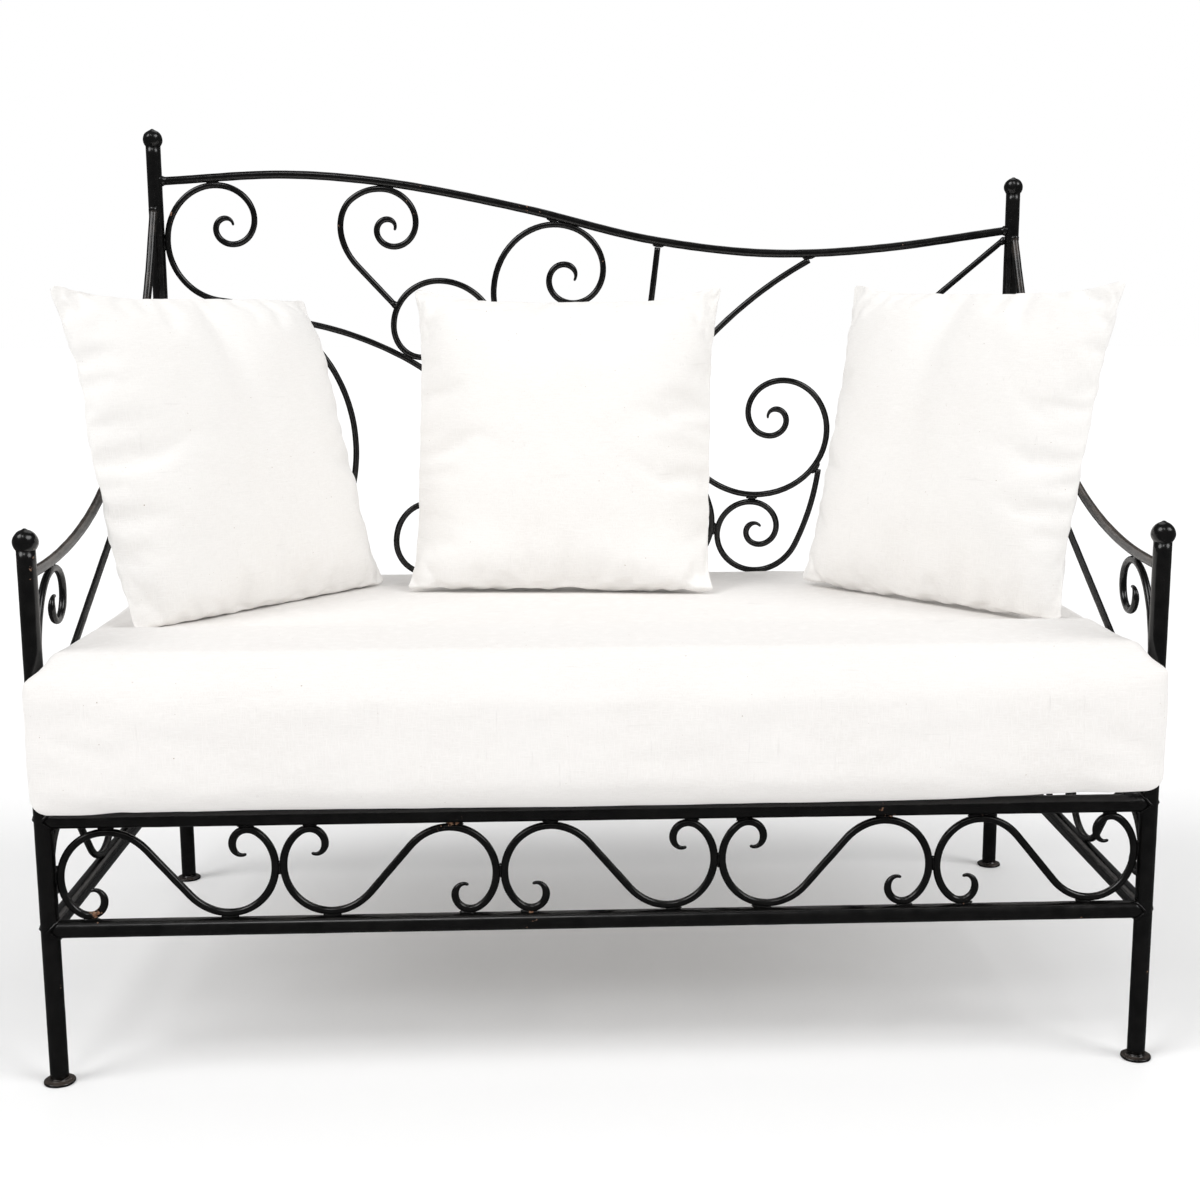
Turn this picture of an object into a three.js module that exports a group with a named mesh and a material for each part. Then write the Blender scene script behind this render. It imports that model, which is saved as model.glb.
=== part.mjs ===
// Wrought-iron daybed: a welded frame of steel tube and round bar, flat seat slats,
// a loose mattress and three loose square cushions.
// Millimetres, +X to the sitter's left-to-right, +Y to the back, +Z up, floor at z = 0.
import * as THREE from 'three';

// ---- driving dimensions -------------------------------------------------------------
const GAP = 0.3;                    // clearance kept between touching pieces

const POST_PITCH_X = 1280;          // between post centres, side to side
const POST_PITCH_Y = 720;           // between post centres, front to back
const TUBE_RADIUS = 10.65;          // posts and straight rails
const TUBE_WALL = 2;
const RAIL_BAR = 12;                // diameter of the arm bars and of the wavy top rail
const SCROLL_BAR = 9;               // diameter of every scroll and brace

const LOWER_RAIL_Z = 188;
const SEAT_RAIL_Z = 319;
const SCROLL_RAIL_Z = 476;          // rail under the scrolls of the back
const FRONT_BALL_Z = 638;
const BACK_LEFT_BALL_Z = 1132;
const BACK_RIGHT_BALL_Z = 1068;
const BALL_RADIUS = 14;
const BALL_TIP_RADIUS = 2;          // the small point on top of each ball
const BALL_TIP_HEIGHT = 2;
const FOOT_RADIUS = 18;
const FOOT_THICKNESS = 3.5;

const ARM_FRONT_Z = 600;            // arm bar at the front post
const ARM_POST_GAP = 0.7;
const TOP_RAIL_POST_GAP = 0.8;
const ARM_SCROLL_MIDDLE_Z = 466;
const BRACE_START_X = 29;           // brace from the C-scroll up to the arm, in a side panel
const BRACE_START_Z = 417.5;
const BRACE_ANGLE = 27.8;
const BRACE_LENGTH = 766;

const FRONT_SCROLLS = 5;
const FRONT_SCROLL_PITCH = 253.6;   // the last one at the right takes what is left
const SIDE_SCROLL_WIDTH = 290;      // one S-scroll and its gap, under the side of the seat

const SLAT_COUNT = 7;
const SLAT_WIDTH = 30;
const SLAT_THICKNESS = 4;

const MATTRESS_THICKNESS = 161;
const MATTRESS_OVERHANG = 45;       // from the front post centres to its front face
const MATTRESS_FRONT_WIDTH = 1288;  // the lip in front of the posts
const MATTRESS_INNER_WIDTH = 1244;  // between the arms
const MATTRESS_POST_CLEARANCE = 16; // from a post centre to the notch round it
const MATTRESS_BACK_CLEARANCE = 14; // from the back post centres to its back face

const CUSHION_WIDTH = 452;
const CUSHION_HEIGHT = 434;
const CUSHION_THICKNESS = 130;

// ---- derived places -----------------------------------------------------------------
const DEPTH = MATTRESS_OVERHANG + POST_PITCH_Y + FOOT_RADIUS;
const FRONT_Y = MATTRESS_OVERHANG - DEPTH / 2;
const BACK_Y = FRONT_Y + POST_PITCH_Y;
const POST_X = POST_PITCH_X / 2;
const RAIL_END_X = POST_X - TUBE_RADIUS - GAP;
const RAIL_END_Y = POST_PITCH_Y - TUBE_RADIUS - GAP;
const SEAT_Z = SEAT_RAIL_Z + TUBE_RADIUS;
const BALL_FLAT = Math.sqrt(BALL_RADIUS ** 2 - TUBE_RADIUS ** 2);   // ball centre to post top

// ---- materials ----------------------------------------------------------------------
function blackPaint() {
  return new THREE.MeshStandardMaterial({ color: 0x15130f, roughness: 0.38, metalness: 0.4 });
}

function cotton() {
  return new THREE.MeshStandardMaterial({ color: 0xf3ede4, roughness: 0.95, metalness: 0 });
}

const daybed = new THREE.Group();

function piece(name, geometry, material, parent = daybed) {
  const mesh = new THREE.Mesh(geometry, material);
  mesh.name = name;
  parent.add(mesh);
  return mesh;
}

// ---- bent bars ----------------------------------------------------------------------
// A bar lies in a panel's own plane: x along the panel, z up. It is drawn as a smith
// bends it: straight runs, and turns whose radius goes evenly from one value to another.
const run = (length) => ({ length });
const turn = (sweep, startRadius, endRadius = startRadius) => ({ sweep, startRadius, endRadius });

const CHORD_ERROR = 0.7;            // how far a facet may stand off its curve
const WIDEST_STEP = 32 * THREE.MathUtils.DEG2RAD;

function facetCount(sweep, radius) {
  const step = Math.min(WIDEST_STEP, 2 * Math.acos(1 - CHORD_ERROR / radius));
  return Math.ceil(Math.abs(sweep) / step);
}

// The stations of a bar that starts at [x, z] and sets off at a heading in degrees.
function follow([x, z], headingDegrees, moves) {
  let heading = headingDegrees * THREE.MathUtils.DEG2RAD;
  const stations = [{ x, z, heading }];
  const advance = (distance, direction) => {
    const last = stations.at(-1);
    const next = {
      x: last.x + distance * Math.cos(direction),
      z: last.z + distance * Math.sin(direction),
      heading,
    };
    stations.push(next);
  };
  for (const { length, sweep, startRadius, endRadius } of moves) {
    if (length !== undefined) {
      advance(length, heading);
      continue;
    }
    const total = sweep * THREE.MathUtils.DEG2RAD;
    const count = facetCount(total, Math.sqrt(startRadius * endRadius));
    const step = total / count;
    for (let i = 0; i < count; i++) {
      const radius = startRadius * (endRadius / startRadius) ** ((i + 0.5) / count);
      const direction = heading + step / 2;
      heading += step;
      advance(2 * radius * Math.sin(Math.abs(step) / 2), direction);
    }
  }
  return stations;
}

// A bar that grows both ways from one known point.
function bothWays(at, heading, ahead, behind) {
  const back = follow(at, heading + 180, behind);
  const turned = back.slice(1).map((s) => ({ ...s, heading: s.heading - Math.PI }));
  return [...turned.reverse(), ...follow(at, heading, ahead)];
}

function mirrored(stations) {
  return stations.map(({ x, z, heading }) => ({ x: -x, z, heading: Math.PI - heading }));
}

function moved(stations, dx, dz) {
  return stations.map(({ x, z, heading }) => ({ x: x + dx, z: z + dz, heading }));
}

function reach(stations, axis) {
  return Math.max(...stations.map((s) => Math.abs(s[axis])));
}

function stretched(stations, fx, fz) {
  return stations.map(({ x, z, heading }) => {
    const turned = Math.atan2(Math.sin(heading) * fz, Math.cos(heading) * fx);
    return { x: x * fx, z: z * fz, heading: turned };
  });
}

// Stretches an outline about its centre until it just fills a width and a height.
function filling(stations, width, height) {
  return stretched(stations, width / 2 / reach(stations, 'x'), height / 2 / reach(stations, 'z'));
}

// The stations as a path that is sampled at the stations themselves.
class BarPath extends THREE.Curve {
  constructor(stations) {
    super();
    this.stations = stations;
  }

  station(u) {
    return this.stations[Math.round(u * (this.stations.length - 1))];
  }

  getPointAt(u) {
    const { x, z } = this.station(u);
    return new THREE.Vector3(x, 0, z);
  }

  getTangentAt(u) {
    const { heading } = this.station(u);
    return new THREE.Vector3(Math.cos(heading), 0, Math.sin(heading));
  }

  getSpacedPoints(steps) {
    return Array.from({ length: steps + 1 }, (_, i) => this.getPointAt(i / steps));
  }
}

function polygon(radius, sides) {
  const corners = Array.from({ length: sides }, (_, i) => {
    const angle = ((i + 0.5) * 2 * Math.PI) / sides;
    return new THREE.Vector2(radius * Math.cos(angle), radius * Math.sin(angle));
  });
  return new THREE.Shape(corners);
}

function bar(name, stations, diameter, parent) {
  const sides = diameter > SCROLL_BAR ? 8 : 6;
  const geometry = new THREE.ExtrudeGeometry(polygon(diameter / 2, sides), {
    steps: stations.length - 1,
    extrudePath: new BarPath(stations),
  });
  return piece(name, geometry, blackPaint(), parent);
}

// ---- tubes, balls and feet ----------------------------------------------------------
const TUBE_SIDES = 12;

// An open-ended tube along local +Z.
function tube(name, length, parent) {
  const section = polygon(TUBE_RADIUS, TUBE_SIDES);
  section.holes.push(polygon(TUBE_RADIUS - TUBE_WALL, TUBE_SIDES));
  const geometry = new THREE.ExtrudeGeometry(section, { depth: length, bevelEnabled: false });
  return piece(name, geometry, blackPaint(), parent);
}

function railAlongX(name, y, z) {
  const rail = tube(name, 2 * RAIL_END_X);
  rail.rotation.y = Math.PI / 2;
  rail.position.set(-RAIL_END_X, y, z);
}

function railAlongY(name, x, z) {
  const rail = tube(name, POST_PITCH_Y - 2 * (TUBE_RADIUS + GAP));
  rail.rotation.x = -Math.PI / 2;
  rail.position.set(x, FRONT_Y + TUBE_RADIUS + GAP, z);
}

// A ball cut flat where it sits on the post, with a small drawn-out tip.
function ballGeometry() {
  const first = Math.asin(-BALL_FLAT / BALL_RADIUS);
  const last = 72 * THREE.MathUtils.DEG2RAD;
  const rows = 7;
  const tipZ = BALL_RADIUS + BALL_TIP_HEIGHT;
  const profile = [new THREE.Vector2(0, -BALL_FLAT)];
  for (let i = 0; i <= rows; i++) {
    const angle = first + ((last - first) * i) / rows;
    profile.push(new THREE.Vector2(BALL_RADIUS * Math.cos(angle), BALL_RADIUS * Math.sin(angle)));
  }
  profile.push(new THREE.Vector2(BALL_TIP_RADIUS, tipZ - BALL_TIP_HEIGHT / 2));
  profile.push(new THREE.Vector2(0, tipZ));
  const geometry = new THREE.LatheGeometry(profile, 14);
  return geometry.rotateX(Math.PI / 2);
}

function footGeometry() {
  const profile = [
    new THREE.Vector2(0, 0),
    new THREE.Vector2(FOOT_RADIUS, 0),
    new THREE.Vector2(FOOT_RADIUS, FOOT_THICKNESS),
    new THREE.Vector2(0, FOOT_THICKNESS),
  ];
  const geometry = new THREE.LatheGeometry(profile, 18);
  return geometry.rotateX(Math.PI / 2);
}

function post(corner, x, y, ballZ) {
  const foot = piece(`foot_disc_${corner}`, footGeometry(), blackPaint());
  foot.position.set(x, y, 0);
  const bottom = FOOT_THICKNESS + GAP;
  const upright = tube(`post_${corner}`, ballZ - BALL_FLAT - GAP - bottom);
  upright.position.set(x, y, bottom);
  const ball = piece(`ball_finial_${corner}`, ballGeometry(), blackPaint());
  ball.position.set(x, y, ballZ);
}

// ---- scrolls under the seat ---------------------------------------------------------
const APRON_BOTTOM = LOWER_RAIL_Z + TUBE_RADIUS + GAP;
const APRON_TOP = SEAT_RAIL_Z - TUBE_RADIUS - GAP;
const APRON_SCROLL_HEIGHT = APRON_TOP - APRON_BOTTOM - SCROLL_BAR;
const APRON_MIDDLE_Z = (APRON_TOP + APRON_BOTTOM) / 2;

// An S whose halves are the same, one turned half round from the other.
function sScroll(heading, half, width) {
  return filling(bothWays([0, 0], heading, half, half), width, APRON_SCROLL_HEIGHT);
}

const FRONT_HALF = [run(38), turn(193.5, 72.9, 44.9), turn(248, 25.5, 9.1)];
const SIDE_HALF = [run(38), turn(141, 74, 56), turn(263, 19.4, 10.9)];

function frontApron() {
  const panel = new THREE.Group();
  panel.position.y = FRONT_Y;
  daybed.add(panel);
  const end = POST_X - TUBE_RADIUS;
  for (let i = 0; i < FRONT_SCROLLS; i++) {
    const start = i * FRONT_SCROLL_PITCH - end;
    const width = Math.min(FRONT_SCROLL_PITCH, end - start);
    const scroll = sScroll(-47, FRONT_HALF, width - SCROLL_BAR - GAP);
    const outline = i % 2 === 0 ? scroll : mirrored(scroll);
    const centre = start + width / 2;
    bar(`front_s_scroll_${i + 1}`, moved(outline, centre, APRON_MIDDLE_Z), SCROLL_BAR, panel);
  }
}

// ---- sides --------------------------------------------------------------------------
// A side panel's own x runs from the front post centre to the back.
const LEFT_ARM = [run(48), turn(11, 900), turn(50, 659, 678), run(64)];
const RIGHT_ARM = [run(40), turn(15, 900), turn(42, 700), run(49)];

function sidePanel(side, x, arm) {
  const panel = new THREE.Group();
  panel.position.set(x, FRONT_Y, 0);
  panel.rotation.z = Math.PI / 2;
  daybed.add(panel);

  bar(`arm_bar_${side}`, follow([TUBE_RADIUS + ARM_POST_GAP, ARM_FRONT_Z], 2, arm), RAIL_BAR, panel);

  // The C-scroll stands against the post between the seat and the arm, its ends curled.
  const half = [turn(-18, 245, 189), turn(-150, 116, 20), turn(-312, 40, 8)];
  const lowerHalf = half.map((move) => ({ ...move, sweep: -move.sweep }));
  const spineX = TUBE_RADIUS + SCROLL_BAR / 2 + 2 * GAP;
  const cScroll = bothWays([spineX, ARM_SCROLL_MIDDLE_Z], 90, half, lowerHalf);
  bar(`arm_c_scroll_${side}`, cScroll, SCROLL_BAR, panel);

  const brace = follow([BRACE_START_X, BRACE_START_Z], BRACE_ANGLE, [run(BRACE_LENGTH)]);
  bar(`arm_brace_${side}`, brace, SCROLL_BAR, panel);

  const scroll = sScroll(-47, SIDE_HALF, SIDE_SCROLL_WIDTH - SCROLL_BAR - GAP);
  const first = TUBE_RADIUS + SIDE_SCROLL_WIDTH / 2;
  bar(`side_s_scroll_${side}_1`, moved(scroll, first, APRON_MIDDLE_Z), SCROLL_BAR, panel);
  const second = first + SIDE_SCROLL_WIDTH;
  bar(`side_s_scroll_${side}_2`, moved(mirrored(scroll), second, APRON_MIDDLE_Z), SCROLL_BAR, panel);

  // What is left before the back post holds one C of the same height, its back to the post.
  const loop = [turn(90, 62, 50), turn(330, 26, 11)];
  const lowerLoop = loop.map((move) => ({ ...move, sweep: -move.sweep }));
  const open = bothWays([0, 0], 90, loop, lowerLoop);
  const fit = APRON_SCROLL_HEIGHT / 2 / reach(open, 'z');
  const closed = stretched(open, fit, fit);
  const backX = POST_PITCH_Y - TUBE_RADIUS - SCROLL_BAR / 2 - GAP;
  bar(`side_c_scroll_${side}`, moved(closed, backX, APRON_MIDDLE_Z), SCROLL_BAR, panel);
}

// ---- back ---------------------------------------------------------------------------
// Each scroll is given from a point where it touches its neighbour, the rail or a post.
const backScrolls = {
  back_scroll_left_s: bothWays([-624, 1000], -99,
    [turn(91, 89, 85), run(20), turn(-108, 178, 279), turn(-301, 147, 63)],
    [turn(-539, 91, 8)]),
  back_scroll_upper_left: bothWays([-354, 1047.5], -140,
    [turn(93, 39, 106), run(76)],
    [turn(-528, 71, 8)]),
  back_scroll_upper_middle: bothWays([-295.8, 860.4], -89,
    [turn(345, 53, 10)],
    [turn(-97, 65, 73), turn(-53, 87)]),
  back_scroll_long_arch: bothWays([-299.8, 529.9], 94,
    [turn(-330, 71, 14)],
    [turn(87, 49, 43), turn(80, 83.5, 127), turn(69, 219, 231), turn(20, 503), run(9)]),
  back_scroll_centre: bothWays([-145, 917.8], -94,
    [turn(70, 111), run(197)],
    [turn(-576, 114, 12)]),
  back_scroll_hanging: bothWays([264, 605], 5,
    [turn(645, 122, 9)],
    [turn(-55, 116, 139), turn(-47, 287, 313), run(98)]),
  back_branch_right: follow([331, 960], 209, [turn(27, 653, 620)]),
  back_scroll_right: bothWays([406, 714], -97,
    [turn(88, 255, 142), turn(400, 73, 14)],
    [turn(-43, 228, 327), run(156)]),
  back_scroll_lower_middle: bothWays([184.5, 578.9], -78,
    [turn(-56, 72, 89), turn(-300, 72, 20)],
    [turn(24, 138, 165)]),
  back_scroll_lower_right: bothWays([204.7, 573], 52,
    [turn(-477, 57, 9)],
    [turn(192, 47, 75), turn(18.8, 380, 365)]),
};

const TOP_RAIL_END_X = POST_X - TUBE_RADIUS - TOP_RAIL_POST_GAP;
const TOP_RAIL_WAVE = [
  [-TOP_RAIL_END_X, 1073], [-450, 1083], [-300, 1072], [-100, 1035], [80, 992],
  [220, 973], [320, 970], [450, 979], [TOP_RAIL_END_X, 1004],
];

function waveStations(knots, count) {
  const curve = new THREE.CatmullRomCurve3(knots.map(([x, z]) => new THREE.Vector3(x, 0, z)));
  return Array.from({ length: count + 1 }, (_, i) => {
    const point = curve.getPoint(i / count);
    const tangent = curve.getTangent(i / count);
    return { x: point.x, z: point.z, heading: Math.atan2(tangent.z, tangent.x) };
  });
}

function backPanel() {
  const panel = new THREE.Group();
  panel.position.y = BACK_Y;
  daybed.add(panel);
  bar('back_top_rail', waveStations(TOP_RAIL_WAVE, 32), RAIL_BAR, panel);
  bar('back_scroll_rail', follow([-RAIL_END_X, SCROLL_RAIL_Z], 0, [run(2 * RAIL_END_X)]),
    RAIL_BAR, panel);
  for (const [name, stations] of Object.entries(backScrolls)) {
    bar(name, stations, SCROLL_BAR, panel);
  }
}

// ---- seat ---------------------------------------------------------------------------
function seatSlats() {
  const top = SEAT_Z - GAP;
  const fall = TUBE_RADIUS - SLAT_THICKNESS - GAP;
  const reach = Math.sqrt(TUBE_RADIUS ** 2 - fall ** 2) + 2 * GAP;
  const length = POST_PITCH_Y - 2 * reach;
  const pitch = POST_PITCH_X / (SLAT_COUNT + 1);
  for (let i = 0; i < SLAT_COUNT; i++) {
    const geometry = new THREE.BoxGeometry(SLAT_WIDTH, length, SLAT_THICKNESS);
    const slat = piece(`seat_slat_${i + 1}`, geometry, blackPaint());
    const x = (i - (SLAT_COUNT - 1) / 2) * pitch;
    slat.position.set(x, (FRONT_Y + BACK_Y) / 2, top - SLAT_THICKNESS / 2);
  }
}

function mattress() {
  const front = FRONT_Y - MATTRESS_OVERHANG;
  const lipBack = FRONT_Y - MATTRESS_POST_CLEARANCE;
  const back = BACK_Y - MATTRESS_BACK_CLEARANCE;
  const lipX = MATTRESS_FRONT_WIDTH / 2;
  const innerX = MATTRESS_INNER_WIDTH / 2;
  const right = [[lipX, front], [lipX, lipBack], [innerX, lipBack], [innerX, back]];
  const left = right.map(([x, y]) => [-x, y]).reverse();
  const outline = [...right, ...left].map(([x, y]) => new THREE.Vector2(x, y));
  const geometry = new THREE.ExtrudeGeometry(new THREE.Shape(outline), {
    depth: MATTRESS_THICKNESS,
    bevelEnabled: false,
  });
  const pad = piece('mattress', geometry, cotton());
  pad.position.z = SEAT_Z + GAP;
}

// A square cushion in its own frame: x across, z up from its lower edge, y through it.
// Both faces are crowned, and its sides draw in between the corners.
function cushionGeometry() {
  const cells = 10;
  const edge = 5;
  const drawIn = 0.025;
  const crownPower = 0.7;
  const halfWidth = CUSHION_WIDTH / 2;
  const halfHeight = CUSHION_HEIGHT / 2;
  const crown = CUSHION_THICKNESS / 2 - edge;
  const positions = [];
  const index = [];
  for (const side of [-1, 1]) {
    for (let j = 0; j <= cells; j++) {
      for (let i = 0; i <= cells; i++) {
        const u = (2 * i) / cells - 1;
        const v = (2 * j) / cells - 1;
        const x = halfWidth * u * (1 - drawIn * (1 - v * v));
        const z = halfHeight * (1 + v * (1 - drawIn * (1 - u * u)));
        const swell = ((1 - u ** 4) * (1 - v ** 4)) ** crownPower;
        positions.push(x, side * (edge + crown * swell), z);
      }
    }
  }
  const row = cells + 1;
  const layer = row * row;
  const quad = (a, b, c, d) => index.push(a, b, c, a, c, d);
  for (let j = 0; j < cells; j++) {
    for (let i = 0; i < cells; i++) {
      const a = j * row + i;
      quad(a, a + 1, a + row + 1, a + row);
      quad(layer + a, layer + a + row, layer + a + row + 1, layer + a + 1);
    }
  }
  for (let i = 0; i < cells; i++) {
    const top = cells * row + i;
    quad(i + 1, i, layer + i, layer + i + 1);
    quad(top, top + 1, layer + top + 1, layer + top);
    const near = i * row;
    const far = near + cells;
    quad(near, near + row, layer + near + row, layer + near);
    quad(far + row, far, layer + far, layer + far + row);
  }
  const geometry = new THREE.BufferGeometry();
  geometry.setAttribute('position', new THREE.Float32BufferAttribute(positions, 3));
  geometry.setIndex(index);
  return geometry;
}

// Lower edge centre, measured from the front post centres and the floor, and its turn.
const CUSHIONS = [
  { name: 'cushion_left', x: -446, y: 425, z: 497, yaw: 53, lean: 16.4 },
  { name: 'cushion_middle', x: -47, y: 525, z: 497, yaw: -5, lean: 18 },
  { name: 'cushion_right', x: 449.8, y: 398, z: 502, yaw: -50, lean: 14.8 },
];

function cushions() {
  for (const { name, x, y, z, yaw, lean } of CUSHIONS) {
    const cushion = piece(name, cushionGeometry(), cotton());
    cushion.rotation.order = 'ZXY';
    cushion.rotation.z = yaw * THREE.MathUtils.DEG2RAD;
    cushion.rotation.x = -lean * THREE.MathUtils.DEG2RAD;
    cushion.position.set(x, FRONT_Y + y, z);
  }
}

// ---- assembly -----------------------------------------------------------------------
post('front_left', -POST_X, FRONT_Y, FRONT_BALL_Z);
post('front_right', POST_X, FRONT_Y, FRONT_BALL_Z);
post('back_left', -POST_X, BACK_Y, BACK_LEFT_BALL_Z);
post('back_right', POST_X, BACK_Y, BACK_RIGHT_BALL_Z);

for (const [level, z] of [['seat', SEAT_RAIL_Z], ['lower', LOWER_RAIL_Z]]) {
  railAlongX(`front_${level}_rail`, FRONT_Y, z);
  railAlongX(`back_${level}_rail`, BACK_Y, z);
  railAlongY(`left_${level}_rail`, -POST_X, z);
  railAlongY(`right_${level}_rail`, POST_X, z);
}

frontApron();
sidePanel('left', -POST_X, LEFT_ARM);
sidePanel('right', POST_X, RIGHT_ARM);
backPanel();
seatSlats();
mattress();
cushions();

export default daybed;
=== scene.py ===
# The looks of a wrought-iron daybed: smooth bent bars with drawn-out tips, tubes, balls,
# feet and weld beads in chipped black paint, and a cotton mattress and cushions that are
# simulated as cloth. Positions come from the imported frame. Metres, +X right, +Y back, +Z up.
import math

import bpy
import numpy as np
from mathutils import Matrix, Vector, noise


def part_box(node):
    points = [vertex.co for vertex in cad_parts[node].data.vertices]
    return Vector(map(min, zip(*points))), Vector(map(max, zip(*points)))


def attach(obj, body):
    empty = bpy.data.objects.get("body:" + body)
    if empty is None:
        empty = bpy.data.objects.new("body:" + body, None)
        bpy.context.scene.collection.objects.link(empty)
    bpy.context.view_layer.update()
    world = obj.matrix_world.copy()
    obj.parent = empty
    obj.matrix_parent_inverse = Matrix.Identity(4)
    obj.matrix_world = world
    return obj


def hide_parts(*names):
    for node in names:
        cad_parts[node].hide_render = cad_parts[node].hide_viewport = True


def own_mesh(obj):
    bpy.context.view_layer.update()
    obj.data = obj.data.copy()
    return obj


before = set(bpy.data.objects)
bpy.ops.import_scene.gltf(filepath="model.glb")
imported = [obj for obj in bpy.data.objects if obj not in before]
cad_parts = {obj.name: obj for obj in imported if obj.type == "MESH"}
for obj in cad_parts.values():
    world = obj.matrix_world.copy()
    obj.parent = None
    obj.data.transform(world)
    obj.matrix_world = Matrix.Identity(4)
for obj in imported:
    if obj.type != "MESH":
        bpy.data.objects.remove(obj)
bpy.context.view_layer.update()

MM = 0.001

# ---- sizes that the CAD model is built from (mm) ----
GAP = 0.3
TUBE_RADIUS = 10.65
RAIL_BAR = 12
SCROLL_BAR = 9
BALL_RADIUS = 14
FOOT_RADIUS = 18
FOOT_THICKNESS = 3.5
FRONT_SCROLLS = 5
FRONT_SCROLL_PITCH = 253.6
SIDE_SCROLL_WIDTH = 290
ARM_FRONT_Z = 600
ARM_SCROLL_MIDDLE_Z = 466
CUSHION_WIDTH = 452
CUSHION_HEIGHT = 434
CUSHION_THICKNESS = 130


def centre(node):
    low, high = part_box(node)
    return (low + high) / 2


front_post = centre("post_front_right")
back_post = centre("post_back_right")
POST_X = front_post.x / MM
FRONT_Y = front_post.y / MM
BACK_Y = back_post.y / MM
SEAT_RAIL_Z = centre("front_seat_rail").z / MM
LOWER_RAIL_Z = centre("front_lower_rail").z / MM
SCROLL_RAIL_Z = centre("back_scroll_rail").z / MM
MATTRESS_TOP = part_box("mattress")[1].z
RAIL_END_X = POST_X - TUBE_RADIUS - GAP


# ---- materials ----
class Nodes:
    """A material's node tree, with short calls for the nodes that the looks need."""

    def __init__(self, name):
        self.material = bpy.data.materials.new(name)
        self.material.use_nodes = True
        self.tree = self.material.node_tree
        self.shader = self.tree.nodes["Principled BSDF"]
        self.place = self.tree.nodes.new("ShaderNodeTexCoord").outputs["Object"]

    def link(self, source, target):
        self.tree.links.new(source, target)

    def stretched(self, scale):
        mapping = self.tree.nodes.new("ShaderNodeMapping")
        mapping.inputs["Scale"].default_value = scale
        self.link(self.place, mapping.inputs["Vector"])
        return mapping.outputs["Vector"]

    def noise(self, scale, detail=3.0, roughness=0.5, stretch=(1, 1, 1)):
        texture = self.tree.nodes.new("ShaderNodeTexNoise")
        texture.inputs["Scale"].default_value = scale
        texture.inputs["Detail"].default_value = detail
        texture.inputs["Roughness"].default_value = roughness
        self.link(self.stretched(stretch), texture.inputs["Vector"])
        return texture.outputs["Fac"]

    def facing_up(self):
        normal = self.tree.nodes.new("ShaderNodeTexCoord").outputs["Normal"]
        parts = self.tree.nodes.new("ShaderNodeSeparateXYZ")
        self.link(normal, parts.inputs["Vector"])
        return parts.outputs["Z"]

    def ramp(self, source, low, high, first=0.0, last=1.0):
        node = self.tree.nodes.new("ShaderNodeMapRange")
        node.inputs["From Min"].default_value = low
        node.inputs["From Max"].default_value = high
        node.inputs["To Min"].default_value = first
        node.inputs["To Max"].default_value = last
        self.link(source, node.inputs["Value"])
        return node.outputs["Result"]

    def math(self, operation, a, b):
        node = self.tree.nodes.new("ShaderNodeMath")
        node.operation = operation
        for socket, value in zip(node.inputs, (a, b)):
            if isinstance(value, (int, float)):
                socket.default_value = value
            else:
                self.link(value, socket)
        return node.outputs[0]

    def mix(self, share, a, b):
        node = self.tree.nodes.new("ShaderNodeMix")
        node.data_type = "RGBA"
        self.link(share, node.inputs["Factor"])
        for socket, value in ((node.inputs["A"], a), (node.inputs["B"], b)):
            if isinstance(value, tuple):
                socket.default_value = (*value, 1)
            else:
                self.link(value, socket)
        return node.outputs["Result"]

    def bump(self, height, distance, strength=1.0, under=None):
        node = self.tree.nodes.new("ShaderNodeBump")
        node.inputs["Distance"].default_value = distance
        node.inputs["Strength"].default_value = strength
        self.link(height, node.inputs["Height"])
        if under is not None:
            self.link(under, node.inputs["Normal"])
        return node.outputs["Normal"]


PAINT_BLACK = (0.0014, 0.0014, 0.0014)
PAINT_GREY = (0.0048, 0.0045, 0.0043)
RUBBED_BROWN = (0.062, 0.049, 0.041)
RUST_DARK = (0.16, 0.062, 0.026)
RUST_PALE = (0.34, 0.2, 0.12)
FLECK_BROWN = (0.33, 0.24, 0.17)


def iron_paint(name, chips, brown=0.0):
    """Satin-gloss black paint over forged bar. chips is how much of it has come off, down to
    rust, and brown is how far its upward sides are rubbed."""
    m = Nodes(name)
    streaks = m.noise(60, 4, 0.6)
    paint = m.mix(m.ramp(streaks, 0.35, 0.7), PAINT_BLACK, PAINT_GREY)
    if brown:
        upward = m.math("MULTIPLY", m.facing_up(), 0.3)
        patches = m.math("ADD", m.noise(26, 5, 0.65), upward)
        rubbed = m.ramp(patches, 0.62 - brown, 0.92 - brown)
        paint = m.mix(rubbed, paint, RUBBED_BROWN)
    spots = m.noise(150, 5, 0.62)
    where = m.ramp(m.noise(14, 2), 0.42, 0.68)
    chipped = m.ramp(m.math("MULTIPLY", spots, where), 0.62 - chips, 0.66 - chips)
    rust = m.mix(m.ramp(m.noise(420, 2), 0.4, 0.62), RUST_DARK, RUST_PALE)
    m.link(m.mix(chipped, paint, rust), m.shader.inputs["Base Color"])
    rough = m.math("ADD", m.ramp(streaks, 0.3, 0.75, 0.17, 0.28), m.math("MULTIPLY", chipped, 0.45))
    m.link(rough, m.shader.inputs["Roughness"])
    m.shader.inputs["Specular IOR Level"].default_value = 0.5
    hammered = m.bump(m.noise(45, 2), 0.0010, 0.25)
    peel = m.bump(m.noise(420, 1), 0.0002, 0.12, hammered)
    pitted = m.bump(m.math("SUBTRACT", 1.0, chipped), 0.0003, 0.7, peel)
    m.link(pitted, m.shader.inputs["Normal"])
    return m.material


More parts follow.
